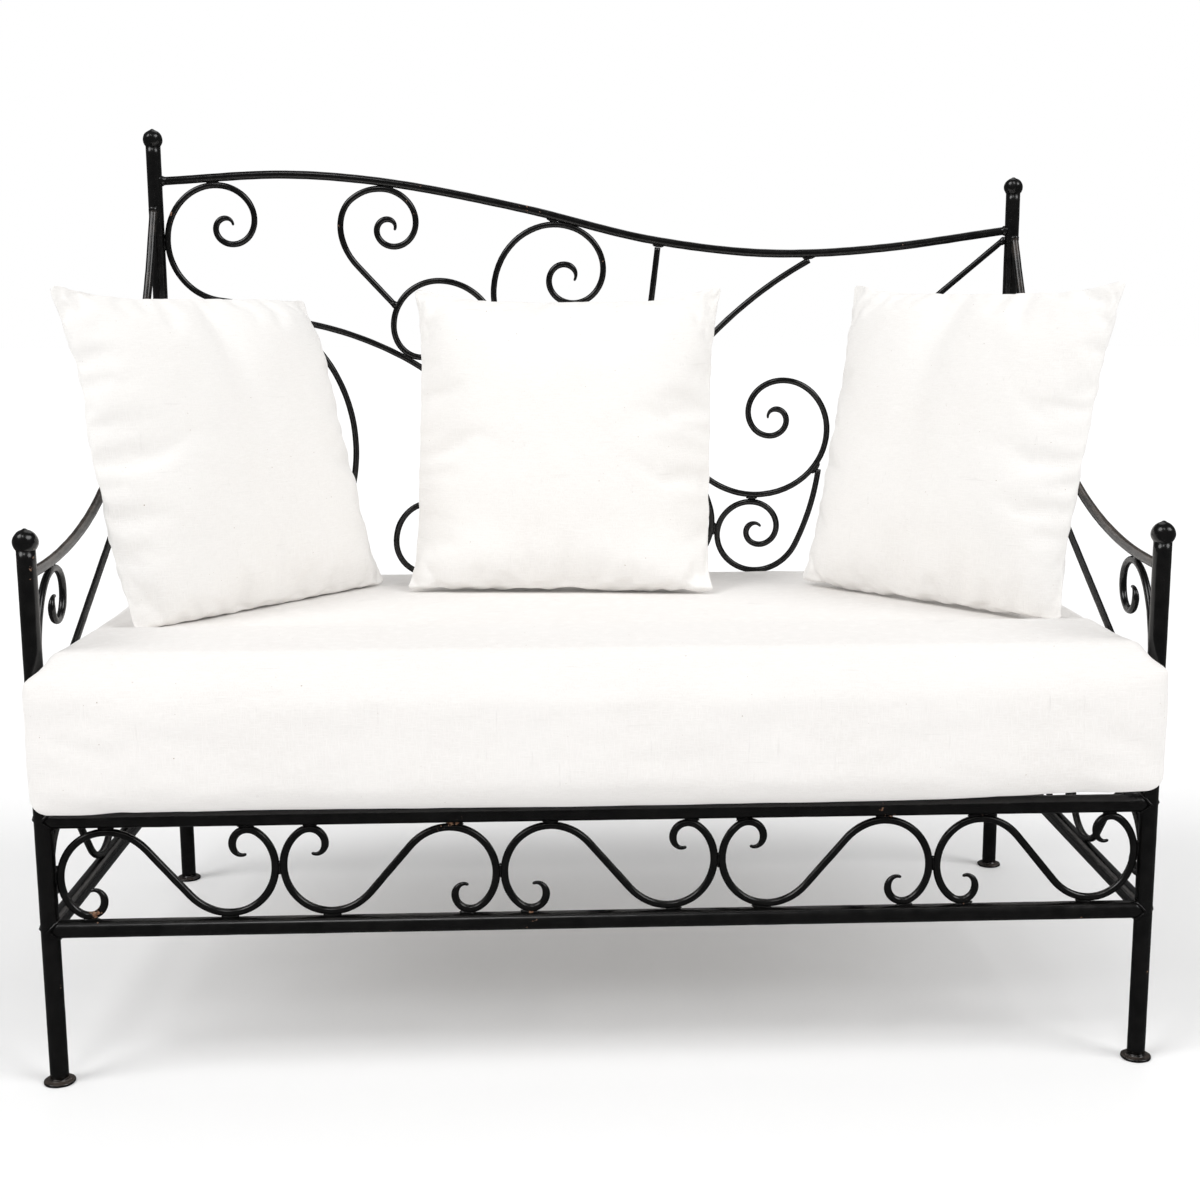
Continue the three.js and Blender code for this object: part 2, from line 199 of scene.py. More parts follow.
def cotton(name, tint, shade):
    """Undyed slub cotton: two sets of threads, thick and thin, with a few dark flecks."""
    m = Nodes(name)
    across = m.noise(900, 2, 0.5, (0.09, 0.09, 1))
    upright = m.noise(900, 2, 0.5, (1, 1, 0.09))
    threads = m.math("MAXIMUM", across, upright)
    thick_across = m.noise(260, 3, 0.6, (0.06, 0.06, 1))
    thick_upright = m.noise(240, 3, 0.6, (1, 1, 0.06))
    slubs = m.math("MAXIMUM", thick_across, thick_upright)
    cloudy = m.ramp(m.noise(7, 4, 0.6), 0.3, 0.7)
    cloth = m.mix(cloudy, tint, shade)
    paler = tuple(min(1.0, 1.04 * channel) for channel in tint)
    cloth = m.mix(m.ramp(threads, 0.42, 0.72), cloth, paler)
    darker = tuple(0.86 * channel for channel in shade)
    cloth = m.mix(m.ramp(slubs, 0.66, 0.8, 0.0, 0.5), cloth, darker)
    flecks = m.ramp(m.noise(310, 1, 0.4), 0.80, 0.84, 0.0, 0.75)
    cloth = m.mix(flecks, cloth, FLECK_BROWN)
    m.link(cloth, m.shader.inputs["Base Color"])
    m.link(m.ramp(threads, 0.3, 0.8, 0.86, 0.97), m.shader.inputs["Roughness"])
    m.shader.inputs["Specular IOR Level"].default_value = 0.25
    m.shader.inputs["Sheen Weight"].default_value = 0.12
    m.shader.inputs["Sheen Roughness"].default_value = 0.5
    weave_bump = m.bump(threads, 0.0006, 0.55)
    slub_bump = m.bump(slubs, 0.0009, 0.35, weave_bump)
    m.link(slub_bump, m.shader.inputs["Normal"])
    return m.material


paint = iron_paint("black_iron_paint", 0.0)
paint_worn = iron_paint("black_iron_paint_worn", 0.11)
paint_rubbed = iron_paint("black_iron_paint_rubbed", 0.03, brown=0.04)
paint_foot = iron_paint("black_iron_paint_foot", 0.11, brown=0.02)
mattress_cotton = cotton("mattress_cotton", (0.865, 0.845, 0.825), (0.84, 0.815, 0.79))
cushion_cotton = cotton("cushion_cotton", (0.89, 0.875, 0.855), (0.87, 0.85, 0.825))


# ---- meshes ----
def new_object(name, data):
    thing = bpy.data.objects.new(name, data)
    bpy.context.scene.collection.objects.link(thing)
    return thing


TUBE_SIDES = 36
RAIL_BAR_SIDES = 16
SCROLL_BAR_SIDES = 14
TUBE_STEP = 0.012       # metres between the rings of points along a tube
TUBE_DENT = 0.00018     # how deep the dents of a tube are, in metres
BAR_DENT = 0.00022
DENTS_PER_METRE = 60


def mesh_piece(name, points, faces, material, body="frame", slot="frame_paint"):
    mesh = bpy.data.meshes.new(name)
    mesh.from_pydata([tuple(p) for p in points], [], faces)
    mesh.validate()
    mesh.polygons.foreach_set("use_smooth", [True] * len(mesh.polygons))
    mesh.materials.append(material)
    piece = new_object(name, mesh)
    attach(piece, body)
    return piece


def lump(point, scale, seed=0.0):
    """A number from about -1 to 1 that varies smoothly with place, scale times in a metre."""
    return noise.noise(Vector(point) * scale + Vector((seed, 1.7 * seed, -seed)))


def skin_faces(rows, sides):
    """Quads between rings of points, closed by a fan to one more point at either end."""
    faces = []
    for i in range(rows - 1):
        for k in range(sides):
            a, b = i * sides + k, i * sides + (k + 1) % sides
            faces.append((a, b, b + sides, a + sides))
    first, last = rows * sides, rows * sides + 1
    base = (rows - 1) * sides
    for k in range(sides):
        faces.append((first, (k + 1) % sides, k))
        faces.append((last, base + k, base + (k + 1) % sides))
    return faces


def sweep_shape(centres, side, other, radii, sides, dent):
    """The skin round a centreline: a ring at each centre, and a point at both ends."""
    count = len(centres)
    angles = (np.arange(sides) * 2 * math.pi / sides)[None, :, None]
    ring = np.cos(angles) * side[:, None] + np.sin(angles) * other[:, None]
    points = centres[:, None] + ring * radii[:, None, None]
    for i in range(count):
        for k in range(sides):
            points[i, k] += ring[i, k] * dent * lump(points[i, k], DENTS_PER_METRE)
    points = np.vstack([points.reshape(-1, 3), centres[:1], centres[-1:]])
    return points, skin_faces(count, sides)


# ---- bent bars ----
# A bar lies in a panel's own plane: x along the panel, z up, in millimetres. It is drawn
# as a smith bends it: straight runs, and turns whose radius goes evenly between two values.
ANGLE_STEP = math.radians(6)
LONGEST_STEP = 6


def run(length):
    return {"length": length}


def turn(sweep, first, last=None):
    return {"sweep": sweep, "first": first, "last": first if last is None else last}


def follow(start, heading, moves):
    """Stations (x, z, heading) of a bar that starts at a point and sets off at a heading."""
    x, z = start
    angle = math.radians(heading)
    stations = [(x, z, angle)]
    for move in moves:
        if "length" in move:
            count = math.ceil(move["length"] / LONGEST_STEP)
            steps = [(move["length"] / count, 0.0)] * count
        else:
            total = math.radians(move["sweep"])
            middle = math.sqrt(move["first"] * move["last"])
            count = math.ceil(max(abs(total) / ANGLE_STEP, abs(total) * middle / LONGEST_STEP))
            growth = move["last"] / move["first"]
            radii = [move["first"] * growth ** ((i + 0.5) / count) for i in range(count)]
            steps = [(2 * r * math.sin(abs(total) / count / 2), total / count) for r in radii]
        for distance, bend in steps:
            x += distance * math.cos(angle + bend / 2)
            z += distance * math.sin(angle + bend / 2)
            angle += bend
            stations.append((x, z, angle))
    return stations


def both_ways(at, heading, ahead, behind):
    """A bar that grows both ways from one known point."""
    back = follow(at, heading + 180, behind)[1:]
    return [(x, z, angle - math.pi) for x, z, angle in reversed(back)] + follow(at, heading, ahead)


def mirrored(stations):
    return [(-x, z, math.pi - angle) for x, z, angle in stations]


def shifted(stations, dx, dz):
    return [(x + dx, z + dz, angle) for x, z, angle in stations]


def stretched(stations, fx, fz):
    turned = [(math.sin(angle) * fz, math.cos(angle) * fx) for _, _, angle in stations]
    return [(x * fx, z * fz, math.atan2(*t)) for (x, z, _), t in zip(stations, turned)]


def filling(stations, width, height):
    """Stretches an outline about its centre until it just fills a width and a height."""
    reach_x = max(abs(x) for x, _, _ in stations)
    reach_z = max(abs(z) for _, z, _ in stations)
    return stretched(stations, width / 2 / reach_x, height / 2 / reach_z)


def turned_over(moves):
    return [{**m, "sweep": -m["sweep"]} if "sweep" in m else m for m in moves]


class Panel:
    """A flat panel of the frame: its x axis, its outward axis, and where its own x = 0 is."""

    def __init__(self, origin, along, out):
        self.origin = np.array(origin, float)
        self.along = np.array(along, float)
        self.out = np.array(out, float)

    def points(self, stations):
        xz = np.array([(x, z) for x, z, _ in stations])
        return self.origin + (xz[:, :1] * self.along + xz[:, 1:] * (0, 0, 1)) * MM

    def normals(self, stations):
        angles = np.array([angle for _, _, angle in stations])[:, None]
        return -np.sin(angles) * self.along + np.cos(angles) * (0, 0, 1)


front_panel = Panel((0, FRONT_Y * MM, 0), (1, 0, 0), (0, -1, 0))
back_panel = Panel((0, BACK_Y * MM, 0), (1, 0, 0), (0, -1, 0))
side_panels = {
    "left": Panel((-POST_X * MM, FRONT_Y * MM, 0), (0, 1, 0), (1, 0, 0)),
    "right": Panel((POST_X * MM, FRONT_Y * MM, 0), (0, 1, 0), (1, 0, 0)),
}

TIP_LENGTH = 26        # the stretch that is drawn out thin at the end of a curl
TIP_SHARE = 0.42       # how thin its end is
TIP_ROUND = 2.2        # the rounded last stretch
TIP_END = 0.02         # the square of the share that is left at the very end
centrelines = []       # (name, points, radius) of every bar and tube, for the welds


def tip_share(distance, drawn_out):
    """The bar's thickness, as a share, at a distance from its end."""
    if not drawn_out:
        return 1.0
    along = min(1.0, distance / TIP_LENGTH)
    share = TIP_SHARE + (1 - TIP_SHARE) * along * along * (3 - 2 * along)
    rounded = min(1.0, distance / TIP_ROUND)
    return share * math.sqrt(max(TIP_END, 1 - (1 - rounded) ** 2))


def bar(name, panel, stations, diameter, curls=(False, False), material=None):
    """A smooth round bar. curls says which of its two ends is drawn out to a tip."""
    points = panel.points(stations)
    steps = np.linalg.norm(np.diff(points, axis=0), axis=1) / MM
    travelled = np.concatenate([[0], np.cumsum(steps)])
    left = travelled[-1] - travelled
    shares = [tip_share(a, curls[0]) * tip_share(b, curls[1]) for a, b in zip(travelled, left)]
    radii = diameter / 2 * MM * np.array(shares)
    out = np.broadcast_to(panel.out, points.shape)
    sides = RAIL_BAR_SIDES if diameter > SCROLL_BAR else SCROLL_BAR_SIDES
    skin, faces = sweep_shape(points, panel.normals(stations), out, radii, sides, BAR_DENT)
    if np.dot(np.cross(panel.along, (0, 0, 1)), panel.out) > 0:
        faces = [tuple(reversed(face)) for face in faces]
    piece = mesh_piece(name + "_bar", skin, faces, material or paint)
    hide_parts(name)
    centrelines.append((name, points, diameter / 2 * MM))


# ---- scrolls under the seat ----
APRON_BOTTOM = LOWER_RAIL_Z + TUBE_RADIUS + GAP
APRON_TOP = SEAT_RAIL_Z - TUBE_RADIUS - GAP
APRON_SCROLL_HEIGHT = APRON_TOP - APRON_BOTTOM - SCROLL_BAR
APRON_MIDDLE_Z = (APRON_TOP + APRON_BOTTOM) / 2
APRON_HEADING = -47    # the slope of the straight middle of an S, in degrees
FRONT_HALF = [run(38), turn(193.5, 72.9, 44.9), turn(248, 25.5, 9.1)]
SIDE_HALF = [run(38), turn(141, 74, 56), turn(263, 19.4, 10.9)]
BOTH = (True, True)


def s_scroll(half, width):
    """An S whose halves are the same, one turned half round from the other."""
    whole = both_ways((0, 0), APRON_HEADING, half, half)
    return filling(whole, width, APRON_SCROLL_HEIGHT)


def front_apron():
    end = POST_X - TUBE_RADIUS
    for i in range(FRONT_SCROLLS):
        start = i * FRONT_SCROLL_PITCH - end
        width = min(FRONT_SCROLL_PITCH, end - start)
        scroll = s_scroll(FRONT_HALF, width - SCROLL_BAR - GAP)
        outline = mirrored(scroll) if i % 2 else scroll
        stations = shifted(outline, start + width / 2, APRON_MIDDLE_Z)
        material = paint_worn if i == 0 else paint
        bar(f"front_s_scroll_{i + 1}", front_panel, stations, SCROLL_BAR, BOTH, material)


ARMS = {
    "left": [run(48), turn(11, 900), turn(50, 659, 678), run(64)],
    "right": [run(40), turn(15, 900), turn(42, 700), run(49)],
}
ARM_HEADING = 2
ARM_POST_GAP = 0.7
C_HALF = [turn(-18, 245, 189), turn(-150, 116, 20), turn(-312, 40, 8)]
BRACE_START = (29, 417.5)
BRACE_ANGLE = 27.8
BRACE_LENGTH = 766
CLOSING_LOOP = [turn(90, 62, 50), turn(330, 26, 11)]


def side(name):
    panel = side_panels[name]
    arm = follow((TUBE_RADIUS + ARM_POST_GAP, ARM_FRONT_Z), ARM_HEADING, ARMS[name])
    bar(f"arm_bar_{name}", panel, arm, RAIL_BAR, material=paint_rubbed)

    spine = (TUBE_RADIUS + SCROLL_BAR / 2 + 2 * GAP, ARM_SCROLL_MIDDLE_Z)
    c_scroll = both_ways(spine, 90, C_HALF, turned_over(C_HALF))
    bar(f"arm_c_scroll_{name}", panel, c_scroll, SCROLL_BAR, BOTH)

    brace = follow(BRACE_START, BRACE_ANGLE, [run(BRACE_LENGTH)])
    bar(f"arm_brace_{name}", panel, brace, SCROLL_BAR)

    scroll = s_scroll(SIDE_HALF, SIDE_SCROLL_WIDTH - SCROLL_BAR - GAP)
    first = TUBE_RADIUS + SIDE_SCROLL_WIDTH / 2
    near = shifted(scroll, first, APRON_MIDDLE_Z)
    far = shifted(mirrored(scroll), first + SIDE_SCROLL_WIDTH, APRON_MIDDLE_Z)
    bar(f"side_s_scroll_{name}_1", panel, near, SCROLL_BAR, BOTH)
    bar(f"side_s_scroll_{name}_2", panel, far, SCROLL_BAR, BOTH)

    opened = both_ways((0, 0), 90, CLOSING_LOOP, turned_over(CLOSING_LOOP))
    fit = APRON_SCROLL_HEIGHT / 2 / max(abs(z) for _, z, _ in opened)
    back_x = BACK_Y - FRONT_Y - TUBE_RADIUS - SCROLL_BAR / 2 - GAP
    closed = shifted(stretched(opened, fit, fit), back_x, APRON_MIDDLE_Z)
    bar(f"side_c_scroll_{name}", panel, closed, SCROLL_BAR, BOTH)


# ---- back ----
# Each scroll grows from a point where it touches its neighbour, the rail or a post. The
# last item says whether its far end and its near end are drawn out to a tip.
BACK_SCROLLS = {
    "back_scroll_left_s": (
        (-624, 1000), -99,
        [turn(91, 89, 85), run(20), turn(-108, 178, 279), turn(-301, 147, 63)],
        [turn(-539, 91, 8)], (True, True)),
    "back_scroll_upper_left": (
        (-354, 1047.5), -140, [turn(93, 39, 106), run(76)], [turn(-528, 71, 8)], (True, False)),
    "back_scroll_upper_middle": (
        (-295.8, 860.4), -89,
        [turn(345, 53, 10)], [turn(-97, 65, 73), turn(-53, 87)], (False, True)),
    "back_scroll_long_arch": (
        (-299.8, 529.9), 94, [turn(-330, 71, 14)],
        [turn(87, 49, 43), turn(80, 83.5, 127), turn(69, 219, 231), turn(20, 503), run(9)],
        (False, True)),
    "back_scroll_centre": (
        (-145, 917.8), -94, [turn(70, 111), run(197)], [turn(-576, 114, 12)], (True, False)),
    "back_scroll_hanging": (
        (264, 605), 5, [turn(645, 122, 9)],
        [turn(-55, 116, 139), turn(-47, 287, 313), run(98)], (False, True)),
    "back_branch_right": ((331, 960), 209, [turn(27, 653, 620)], [], (False, False)),
    "back_scroll_right": (
        (406, 714), -97, [turn(88, 255, 142), turn(400, 73, 14)],
        [turn(-43, 228, 327), run(156)], (False, True)),
    "back_scroll_lower_middle": (
        (184.5, 578.9), -78, [turn(-56, 72, 89), turn(-300, 72, 20)], [turn(24, 138, 165)],
        (False, True)),
    "back_scroll_lower_right": (
        (204.7, 573), 52, [turn(-477, 57, 9)], [turn(192, 47, 75), turn(18.8, 380, 365)],
        (False, True)),
}

TOP_RAIL_STEPS = 200
TOP_RAIL_POST_GAP = 0.5
TOP_RAIL_END_X = RAIL_END_X - TOP_RAIL_POST_GAP
TOP_RAIL_WAVE = [
    (-TOP_RAIL_END_X, 1073), (-450, 1083), (-300, 1072), (-100, 1035), (80, 992),
    (220, 973), (320, 970), (450, 979), (TOP_RAIL_END_X, 1004),
]


def chordal_spline(knots, t):
    """A centripetal Catmull-Rom curve through the knots, at t from 0 to 1."""
    k = np.array(knots, float)
    padded = np.vstack([2 * k[0] - k[1], k, 2 * k[-1] - k[-2]])
    place = t * (len(k) - 1)
    i = min(int(place), len(k) - 2)
    p0, p1, p2, p3 = padded[i:i + 4]
    d0, d1, d2 = (math.sqrt(np.linalg.norm(b - a)) for a, b in ((p0, p1), (p1, p2), (p2, p3)))
    m1 = ((p1 - p0) / d0 - (p2 - p0) / (d0 + d1) + (p2 - p1) / d1) * d1
    m2 = ((p2 - p1) / d1 - (p3 - p1) / (d1 + d2) + (p3 - p2) / d2) * d1
    w = place - i
    from_p1, along_m1 = 2 * w ** 3 - 3 * w ** 2 + 1, w ** 3 - 2 * w ** 2 + w
    from_p2, along_m2 = 3 * w ** 2 - 2 * w ** 3, w ** 3 - w ** 2
    return from_p1 * p1 + along_m1 * m1 + from_p2 * p2 + along_m2 * m2


def wave_stations(knots, count):
    points = np.array([chordal_spline(knots, i / count) for i in range(count + 1)])
    directions = np.gradient(points, axis=0)
    return [(x, z, math.atan2(dz, dx)) for (x, z), (dx, dz) in zip(points, directions)]


def back():
    wave = wave_stations(TOP_RAIL_WAVE, TOP_RAIL_STEPS)
    bar("back_top_rail", back_panel, wave, RAIL_BAR)
    straight = follow((-RAIL_END_X, SCROLL_RAIL_Z), 0, [run(2 * RAIL_END_X)])
    bar("back_scroll_rail", back_panel, straight, RAIL_BAR)
    for name, (at, heading, ahead, behind, curls) in BACK_SCROLLS.items():
        bar(name, back_panel, both_ways(at, heading, ahead, behind), SCROLL_BAR, curls)


# ---- tubes, balls and feet ----
BALL_SIDES = 40
FOOT_SIDES = 48
BALL_DENT = 0.00045
FOOT_DENT = 0.0006
TURNED_DENTS_PER_METRE = 130
POST_BOTTOM = 0.002     # a post starts inside its foot
POST_IN_BALL = 0.0005   # and ends inside its ball
FILLET = 3.2            # of the weld between a post and its foot


def tube(name, start, end):
    """A straight round tube between two points in metres."""
    start, end = Vector(start), Vector(end)
    axis = (end - start).normalized()
    across = Vector((0, 0, 1)) if abs(axis.z) < 0.5 else Vector((1, 0, 0))
    other = axis.cross(across)
    count = math.ceil((end - start).length / TUBE_STEP)
    centres = np.array([start.lerp(end, i / count) for i in range(count + 1)])
    across = np.broadcast_to(np.array(across), centres.shape)
    other = np.broadcast_to(np.array(other), centres.shape)
    radii = np.full(count + 1, TUBE_RADIUS * MM)
    shape = sweep_shape(centres, across, other, radii, TUBE_SIDES, TUBE_DENT)
    piece = mesh_piece(name + "_tube", *shape, paint)
    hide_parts(name)
    centrelines.append((name, centres, TUBE_RADIUS * MM))


def rails():
    """The straight rails. Each runs on into the posts it is welded to."""
    levels = (("seat", SEAT_RAIL_Z * MM), ("lower", LOWER_RAIL_Z * MM))
    for end in ("front", "back"):
        y = centre(f"post_{end}_left").y
        for level, z in levels:
            tube(f"{end}_{level}_rail", (-POST_X * MM, y, z), (POST_X * MM, y, z))
    for name, x in (("left", -POST_X * MM), ("right", POST_X * MM)):
        for level, z in levels:
            tube(f"{name}_{level}_rail", (x, FRONT_Y * MM, z), (x, BACK_Y * MM, z))


def lathe(name, place, profile, sides, material, dent, node):
    """A turned shape: profile is (radius, height) in mm from the axis to the axis."""
    place = Vector(place)
    points = []
    for radius, height in profile:
        for k in range(sides):
            angle = 2 * math.pi * k / sides
            ring = Vector((radius * math.cos(angle), radius * math.sin(angle), height))
            points.append(ring * MM)
    dented = []
    for p in points:
        dent_here = p.normalized() * dent * lump(p + place, TURNED_DENTS_PER_METRE)
        dented.append(place + p + dent_here)
    dented += [place + Vector((0, 0, height * MM)) for _, height in (profile[0], profile[-1])]
    piece = mesh_piece(name, dented, skin_faces(len(profile), sides), material)
    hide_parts(node)


def arc(radius, first, last, count, at=(0, 0)):
    angles = [math.radians(first + (last - first) * i / count) for i in range(count + 1)]
    return [(at[0] + radius * math.cos(a), at[1] + radius * math.sin(a)) for a in angles]


BALL_FLAT = math.sqrt(BALL_RADIUS ** 2 - TUBE_RADIUS ** 2)  # its centre over the post's end


def ball_profile():
    """A ball cut off flat where it sits on the post, with a small tip."""
    lowest = math.degrees(math.asin(-BALL_FLAT / BALL_RADIUS))
    base = [(2, -BALL_FLAT - 1), (TUBE_RADIUS - 1.0, -BALL_FLAT - 1)]
    tip = [(2.4, BALL_RADIUS + 0.4), (1.2, BALL_RADIUS + 1.1)]
    return base + arc(BALL_RADIUS, lowest, 74, 22) + tip


def foot_profile():
    """A disc with a soft rim, and the fillet of weld that joins it to the post."""
    inner = TUBE_RADIUS + FILLET
    return [
        (4, 0.05),
        (FOOT_RADIUS - 1.0, 0.05),
        (FOOT_RADIUS - 0.2, 0.5),
        (FOOT_RADIUS + 0.1, FOOT_THICKNESS / 2),
        (FOOT_RADIUS - 0.3, FOOT_THICKNESS - 0.5),
        (FOOT_RADIUS - 1.2, FOOT_THICKNESS),
        (inner, FOOT_THICKNESS + 0.1),
        *arc(FILLET, 270, 180, 5, (inner, FOOT_THICKNESS + 3.3)),
        (4, FOOT_THICKNESS + 4),
    ]


def posts():
    for corner in ("front_left", "front_right", "back_left", "back_right"):
        post = f"post_{corner}"
        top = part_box(post)[1].z
        x, y, _ = centre(post)
        tube(post, (x, y, POST_BOTTOM), (x, y, top + POST_IN_BALL))
        worn = paint_worn if corner.startswith("front") else paint
        ball_place = (x, y, top + (BALL_FLAT + GAP) * MM)
        lathe(
            f"ball_{corner}", ball_place, ball_profile(), BALL_SIDES, worn, BALL_DENT,
            f"ball_finial_{corner}")
        lathe(
            f"foot_{corner}", (x, y, 0), foot_profile(), FOOT_SIDES, paint_foot, FOOT_DENT,
            f"foot_disc_{corner}")


# ---- welds ----
# Metres.
WELD_REACH = 0.0027     # bars closer than this are welded
WELD_SPACING = 0.03     # and once in this length
THINNEST_TUBE = 0.009   # radius from which a centreline is a tube's
PANEL_REACH = 25        # millimetres from the front or the back plane
END_STATIONS = 4        # a touch this near a bar's end is a butt weld
BEAD_ROWS = 9
BEAD_SIDES = 14
BEAD_LENGTH = 0.0088
TUBE_BEAD_LENGTH = 0.0100
BEAD_THICKNESS = 0.0027
BEAD_HEIGHT = 0.0033
BEAD_STAND_OFF = 0.0004  # of a bead's middle from the bar's skin
BUTT_LENGTH = 0.0072
BUTT_SWELL = 1.26       # its thickness, as a share of the bar's
BUTT_FORWARD = 0.001    # towards the neighbour
COLLAR_AROUND = 40
COLLAR_SIDES = 8
COLLAR_THICKNESS = 0.0023
NEXT_SEED = 3.1


def contacts(a, b):
    """Points of centreline a that come within reach of b, one for each separate touch."""
    _, points_a, radius_a = a
    _, points_b, radius_b = b
    gap = np.linalg.norm(points_a[:, None] - points_b[None], axis=2) - radius_a - radius_b
    nearest = gap.min(axis=1)
    order = [i for i in np.argsort(nearest) if nearest[i] < WELD_REACH]
    chosen = []
    for i in order:
        if all(np.linalg.norm(points_a[i] - points_a[j]) > WELD_SPACING for j in chosen):
            chosen.append(i)
    return [(i, int(gap[i].argmin())) for i in chosen]


def bead_shape(place, axes, sizes, seed):
    """A lumpy ellipsoid with its half-sizes along three axes."""
    rows, sides = BEAD_ROWS, BEAD_SIDES
    points = []
    for i in range(1, rows):
        for k in range(sides):
            theta, phi = math.pi * i / rows, 2 * math.pi * k / sides
            flat = math.sin(theta)
            unit = Vector((flat * math.cos(phi), flat * math.sin(phi), math.cos(theta)))
            swell = 1 + 0.22 * lump(unit, 1.6, seed) + 0.1 * lump(unit, 4.0, seed)
            steps = (axes[n] * unit[n] * sizes[n] * swell for n in range(3))
            points.append(sum(steps, place))
    points += [place + axes[2] * sizes[2], place - axes[2] * sizes[2]]
    faces = [(face[0], *reversed(face[1:])) for face in skin_faces(rows - 1, sides)]
    return points, faces


def collar_shape(place, along, up, seed):
    """The lumpy ring of weld where a rail meets a post of its own diameter."""
    across = along.cross(up)
    around, sides = COLLAR_AROUND, COLLAR_SIDES
    radius = TUBE_RADIUS * MM
    points = []
    for i in range(around):
        angle = 2 * math.pi * i / around
        out = across * math.cos(angle) + up * math.sin(angle)
        depth = radius * abs(math.sin(angle))
        middle = place + out * radius + along * (depth + BEAD_STAND_OFF)
        size = COLLAR_THICKNESS * (1 + 0.35 * lump(middle, 330, seed))
        lean = (out * 0.75 + along * 0.66).normalized()
        side_way = out.cross(lean).normalized().cross(lean)
        for k in range(sides):
            a = 2 * math.pi * k / sides
            points.append(middle + (lean * math.cos(a) + side_way * math.sin(a)) * size)
    faces = []
    for i in range(around):
        for k in range(sides):
            n, m = (i + 1) % around, (k + 1) % sides
            faces.append((i * sides + k, n * sides + k, n * sides + m, i * sides + m))
    return points, faces


class Welds:
    """Weld beads gathered into one piece for each side of the frame."""

    def __init__(self):
        self.groups = {}

    def add(self, group, shape):
        points, faces = self.groups.setdefault(group, ([], []))
        base = len(points)
        points.extend(shape[0])
        faces.extend(tuple(v + base for v in face) for face in shape[1])

    def build(self):
        for group, (points, faces) in self.groups.items():
            mesh_piece(f"weld_beads_{group}", points, faces, paint_worn)


def group_of(point):
    x, y = point[0] / MM, point[1] / MM
    if abs(y - FRONT_Y) < PANEL_REACH:
        return "front"
    if abs(y - BACK_Y) < PANEL_REACH:
        return "back"
    return "left" if x < 0 else "right"


def butt_weld(points, radius, i, along, towards, seed):
    """A bead round the end of a bar that stops on its neighbour."""
    end = 0 if i < END_STATIONS else -1
    place = Vector(points[end]) + towards * BUTT_FORWARD
    sideways = along.orthogonal().normalized()
    axes = (along, sideways, along.cross(sideways))
    sizes = (BUTT_LENGTH, BUTT_SWELL * radius, BUTT_SWELL * radius)
    return bead_shape(place, axes, sizes, seed)


def side_weld(here, radius, along, towards, length, seed):
    """A bead in the groove where a bar runs past its neighbour."""
    towards = (towards - along * towards.dot(along)).normalized()
    place = here + towards * (radius + BEAD_STAND_OFF)
    axes = (along, towards, along.cross(towards))
    sizes = (length * (1 + 0.25 * lump(place, 900)), BEAD_THICKNESS, BEAD_HEIGHT)
    return bead_shape(place, axes, sizes, seed)


def welds():
    gathered = Welds()
    seed = 0.0
    tubes = [line for line in centrelines if line[2] > THINNEST_TUBE]
    bars = [line for line in centrelines if line[2] < THINNEST_TUBE]
    for n, a in enumerate(bars):
        _, points, radius = a
        last = len(points) - 1
        for b in bars[n + 1:] + tubes:
            length = BEAD_LENGTH if b[2] < THINNEST_TUBE else TUBE_BEAD_LENGTH
            for i, j in contacts(a, b):
                seed += NEXT_SEED
                here = Vector(points[i])
                towards = (Vector(b[1][j]) - here).normalized()
                before, after = max(0, i - 1), min(last, i + 1)
                along = (Vector(points[after]) - Vector(points[before])).normalized()
                if min(i, last - i) < END_STATIONS:
                    shape = butt_weld(points, radius, i, along, towards, seed)
                else:
                    shape = side_weld(here, radius, along, towards, length, seed)
                gathered.add(group_of(here), shape)
    up = Vector((0, 0, 1))
    for end, y, depthwise in (("front", FRONT_Y, 1), ("back", BACK_Y, -1)):
        for x, inward in ((-POST_X, 1), (POST_X, -1)):
            for z in (SEAT_RAIL_Z, LOWER_RAIL_Z):
                seed += NEXT_SEED
                place = Vector((x, y, z)) * MM
                gathered.add(end, collar_shape(place, Vector((inward, 0, 0)), up, seed))
                gathered.add(end, collar_shape(place, Vector((0, depthwise, 0)), up, seed + 1))
    gathered.build()


# ---- seat slats ----
SLAT_ROUNDING = 0.0008


def slats():
    """The flat slats keep their CAD shape, with softened edges."""
    for name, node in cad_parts.items():
        if name.startswith("seat_slat_"):
            node.data.materials.clear()
            node.data.materials.append(paint)
            bevel = node.modifiers.new("softened", "BEVEL")
            bevel.width = SLAT_ROUNDING
            bevel.segments = 2


# ---- cloth ----
def vertices_of(piece):
    return np.array([v.co for v in piece.data.vertices], float)


def move_vertices(piece, points):
    piece.data.vertices.foreach_set("co", points.astype(np.float32).ravel())
    piece.data.update()


def smooth_step(low, high, value):
    share = np.clip((value - low) / (high - low), 0, 1)
    return share * share * (3 - 2 * share)


